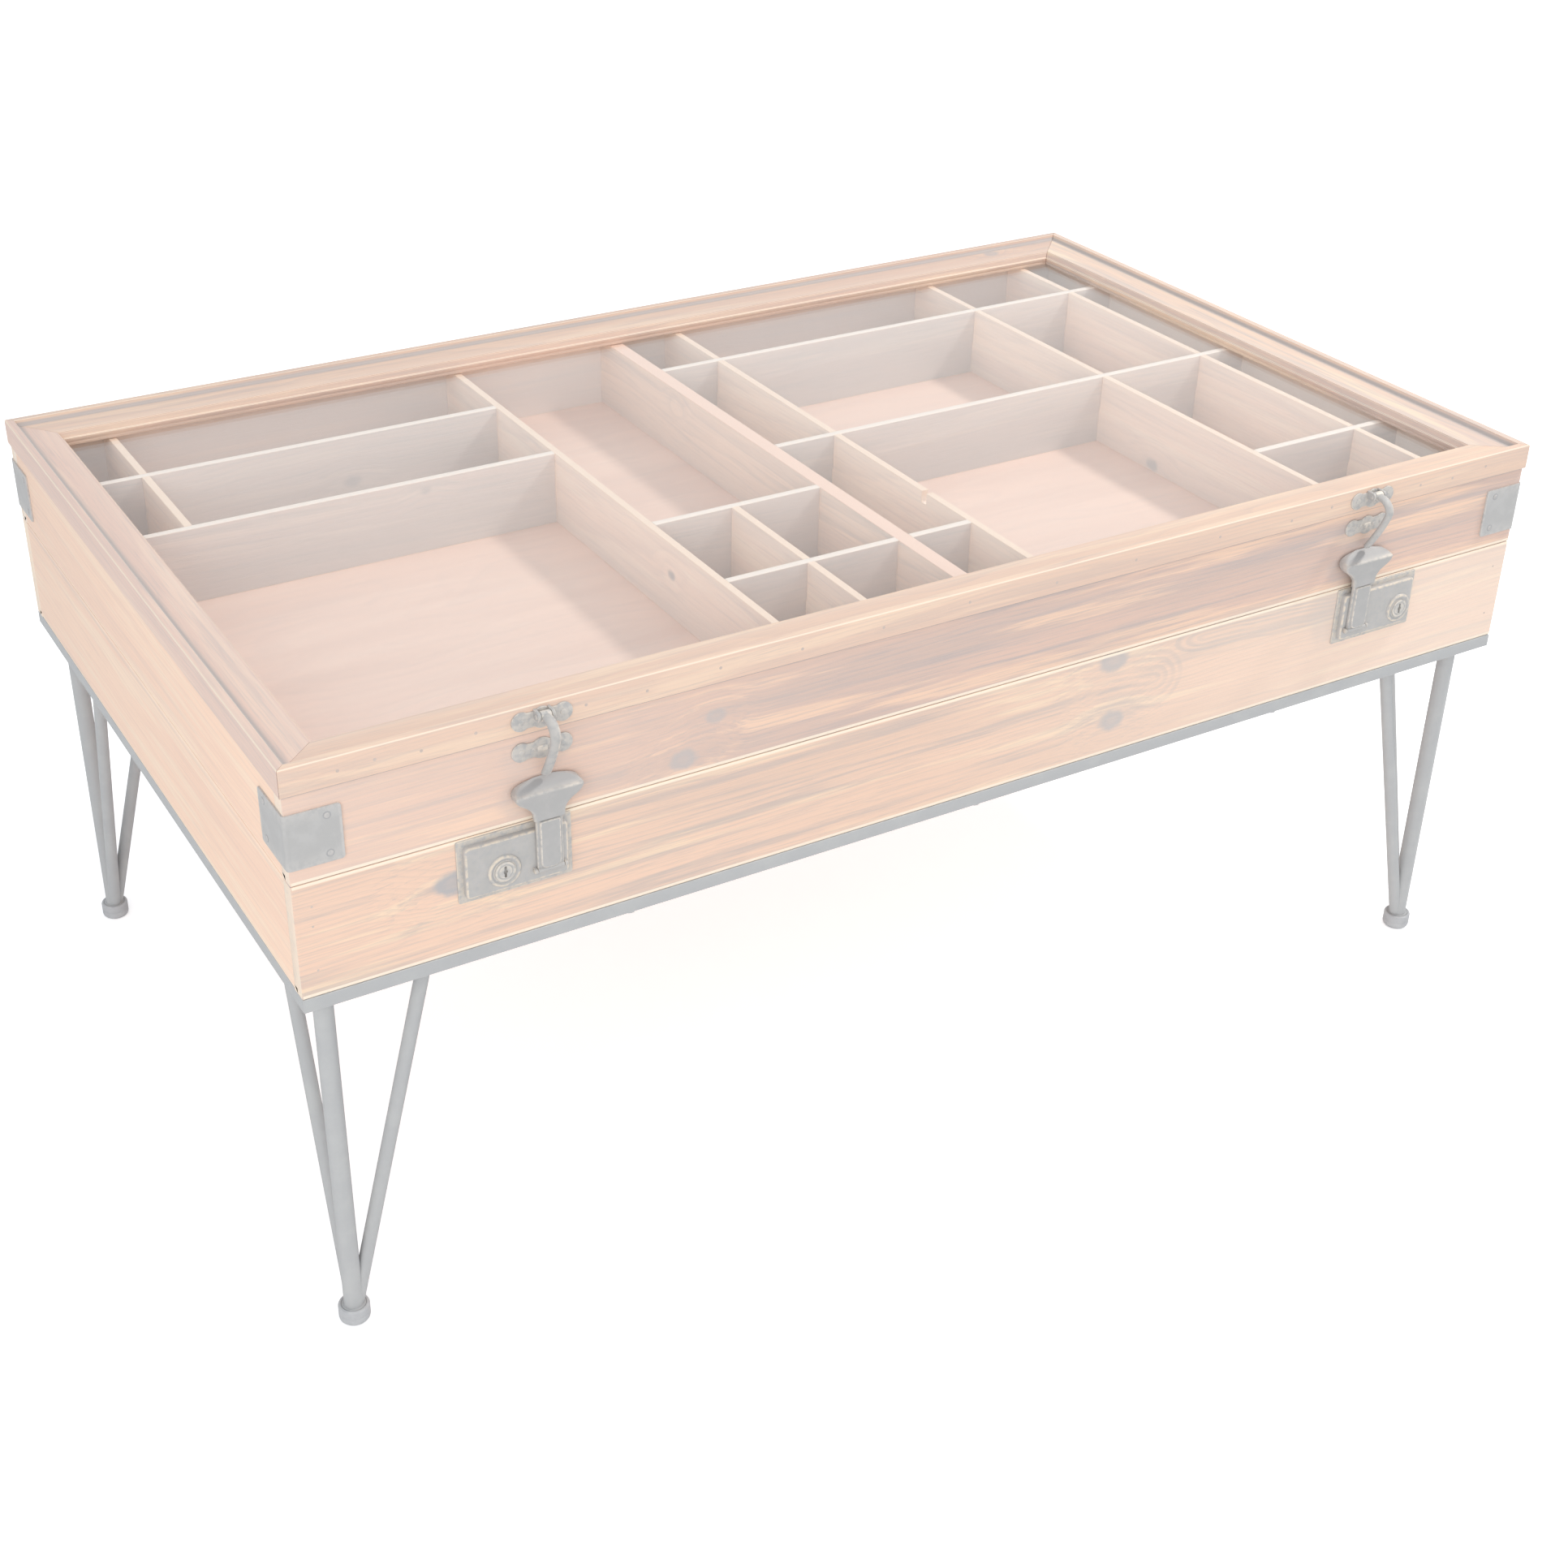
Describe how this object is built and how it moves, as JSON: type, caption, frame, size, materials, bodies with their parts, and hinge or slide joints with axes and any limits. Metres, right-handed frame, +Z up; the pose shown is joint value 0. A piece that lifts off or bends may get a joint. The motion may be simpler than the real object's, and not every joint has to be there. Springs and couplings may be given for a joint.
{
  "type": "coffee table",
  "caption": "Low table with a hinged glass lid over a divided case, which is itself the hinged lid of a storage box on a steel frame with legs of three rods.",
  "frame": {"origin": "on the floor, midway between the ends and midway between the front of the hooks and the back of the hinges, so the wooden body stands 7 mm back from it", "axes": "+X along the length to the right, +Y from the front with its latches to the hinges at the back, +Z up"},
  "size_m": [1.0008, 0.6288, 0.45],
  "materials": {
    "steel": "satin",
    "foot": "matt",
    "box_wood": "clear satin lacquer",
    "plywood": "matt",
    "case_wood": "clear satin lacquer",
    "divider_wood": "matt",
    "lid_wood": "clear satin lacquer",
    "glass": "polished",
    "bracket": "worn",
    "latch": "darkened and worn",
    "lock": "darkened and worn",
    "plug": "worn",
    "hinge": "satin",
    "fixing": "satin"
  },
  "bodies": {
    "base": {"frame_rail_front": "steel", "frame_rail_back": "steel", "frame_rail_left": "steel", "frame_rail_right": "steel", "leg_front_left": "steel", "leg_front_right": "steel", "leg_back_left": "steel", "leg_back_right": "steel", "foot_caps": "foot", "lower_board_front": "box_wood", "lower_board_back": "box_wood", "lower_board_left": "box_wood", "lower_board_right": "box_wood", "lower_floor": "plywood", "frame_screws": "fixing", "lock_plate_left": "lock", "lock_plate_right": "lock", "base_hinge_leaves": "hinge", "case_hinge_pins": "hinge"},
    "case": {"case_board_front": "case_wood", "case_board_back": "case_wood", "case_board_left": "case_wood", "case_board_right": "case_wood", "case_floor": "plywood", "divider_short": "divider_wood", "divider_first": "divider_wood", "divider_small": "divider_wood", "divider_middle": "divider_wood", "divider_third": "divider_wood", "divider_fourth": "divider_wood", "divider_fifth": "divider_wood", "divider_back_left": "divider_wood", "divider_middle_left": "divider_wood", "divider_upper_inner": "divider_wood", "divider_lower_inner": "divider_wood", "divider_front_middle": "divider_wood", "divider_back_right": "divider_wood", "divider_middle_right": "divider_wood", "divider_front_right": "divider_wood", "corner_brackets": "bracket", "bracket_nails": "fixing", "staple_plate_left": "latch", "staple_plate_right": "latch", "case_hinge_leaves": "hinge", "lid_hinge_lower_leaves": "hinge", "lid_hinge_pins": "hinge"},
    "lid": {"lid_rail_front": "lid_wood", "lid_rail_back": "lid_wood", "lid_rail_left": "lid_wood", "lid_rail_right": "lid_wood", "glass_pane": "glass", "hook_plate_left": "latch", "hook_plate_right": "latch", "lid_hinge_upper_leaves": "hinge"},
    "hook_arm_left": {"hook_arm_left": "latch"},
    "hasp_left": {"hasp_left": "latch"},
    "lock_cylinder_left": {"lock_cylinder_left": "plug"},
    "hook_arm_right": {"hook_arm_right": "latch"},
    "hasp_right": {"hasp_right": "latch"},
    "lock_cylinder_right": {"lock_cylinder_right": "plug"}
  },
  "joints": [
    {"name": "case_hinge", "type": "hinge", "parent": "base", "child": "case", "pos_m": [0, 0.311, 0.369], "axis": [-1, 0, 0], "range_deg": [0, 80]},
    {"name": "lid_hinge", "type": "hinge", "parent": "case", "child": "lid", "pos_m": [0, 0.311, 0.431], "axis": [-1, 0, 0], "range_deg": [0, 95]},
    {"name": "hook_swing_left", "type": "hinge", "parent": "lid", "child": "hook_arm_left", "pos_m": [-0.334, -0.2985, 0.444], "axis": [-1, 0, 0], "range_deg": [0, 95]},
    {"name": "hasp_swing_left", "type": "hinge", "parent": "base", "child": "hasp_left", "pos_m": [-0.334, -0.29855, 0.3355], "axis": [1, 0, 0], "range_deg": [0, 110]},
    {"name": "lock_turn_left", "type": "hinge", "parent": "base", "child": "lock_cylinder_left", "pos_m": [-0.3647, -0.2915, 0.3415], "axis": [0, 1, 0], "range_deg": [0, 90]},
    {"name": "hook_swing_right", "type": "hinge", "parent": "lid", "child": "hook_arm_right", "pos_m": [0.339, -0.2985, 0.444], "axis": [-1, 0, 0], "range_deg": [0, 95]},
    {"name": "hasp_swing_right", "type": "hinge", "parent": "base", "child": "hasp_right", "pos_m": [0.339, -0.29855, 0.3355], "axis": [1, 0, 0], "range_deg": [0, 110]},
    {"name": "lock_turn_right", "type": "hinge", "parent": "base", "child": "lock_cylinder_right", "pos_m": [0.3825, -0.2915, 0.3415], "axis": [0, 1, 0], "range_deg": [0, 90]}
  ]
}
